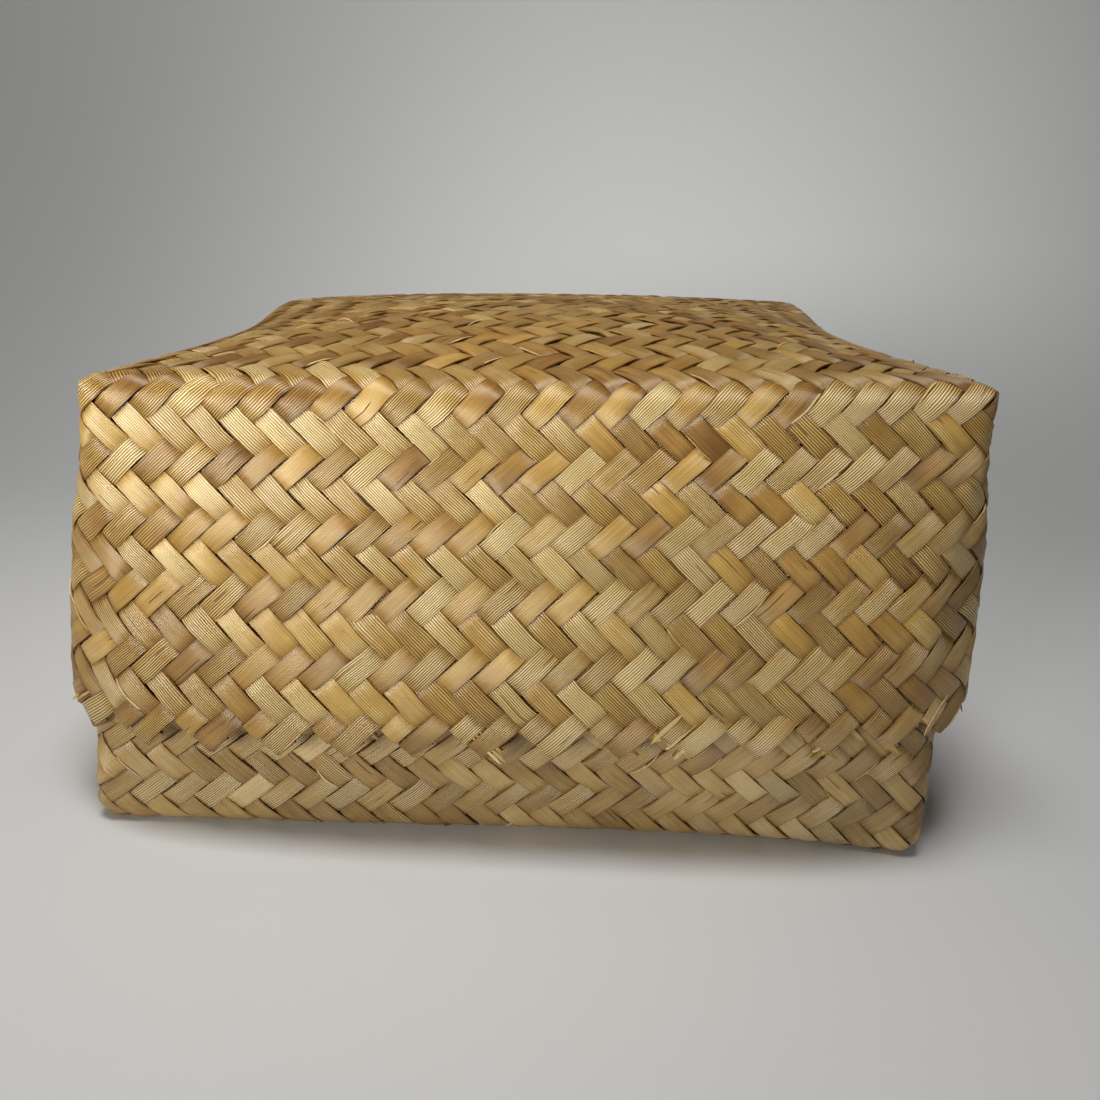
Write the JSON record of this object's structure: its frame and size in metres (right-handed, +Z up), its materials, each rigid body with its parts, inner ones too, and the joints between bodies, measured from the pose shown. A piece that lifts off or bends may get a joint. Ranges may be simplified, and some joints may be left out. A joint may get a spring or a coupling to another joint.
{
  "type": "bamboo box",
  "caption": "Rectangular plaited bamboo box: a woven base tray with a deep woven lid that pulls straight up off it.",
  "frame": {"origin": "on the ground below the middle of the box", "axes": "+X to the right along the front, +Y towards the back, +Z up"},
  "size_m": [0.3508, 0.29, 0.1943],
  "materials": {
    "lid_strips": "satin",
    "base_strips": "satin",
    "folded_strip_ends": "matte"
  },
  "bodies": {
    "base": {"base_floor": "base_strips", "base_front_wall": "base_strips", "base_right_wall": "base_strips", "base_back_wall": "base_strips", "base_left_wall": "base_strips", "base_front_rim_fold": "folded_strip_ends", "base_right_rim_fold": "folded_strip_ends", "base_back_rim_fold": "folded_strip_ends", "base_left_rim_fold": "folded_strip_ends"},
    "lid": {"lid_top_panel": "lid_strips", "lid_front_wall": "lid_strips", "lid_right_wall": "lid_strips", "lid_back_wall": "lid_strips", "lid_left_wall": "lid_strips", "lid_front_rim_fold": "folded_strip_ends", "lid_right_rim_fold": "folded_strip_ends", "lid_back_rim_fold": "folded_strip_ends", "lid_left_rim_fold": "folded_strip_ends"}
  },
  "joints": [
    {"name": "lid_lift", "type": "slide", "parent": "base", "child": "lid", "axis": [0, 0, 1], "range_m": [0, 0.15]}
  ]
}
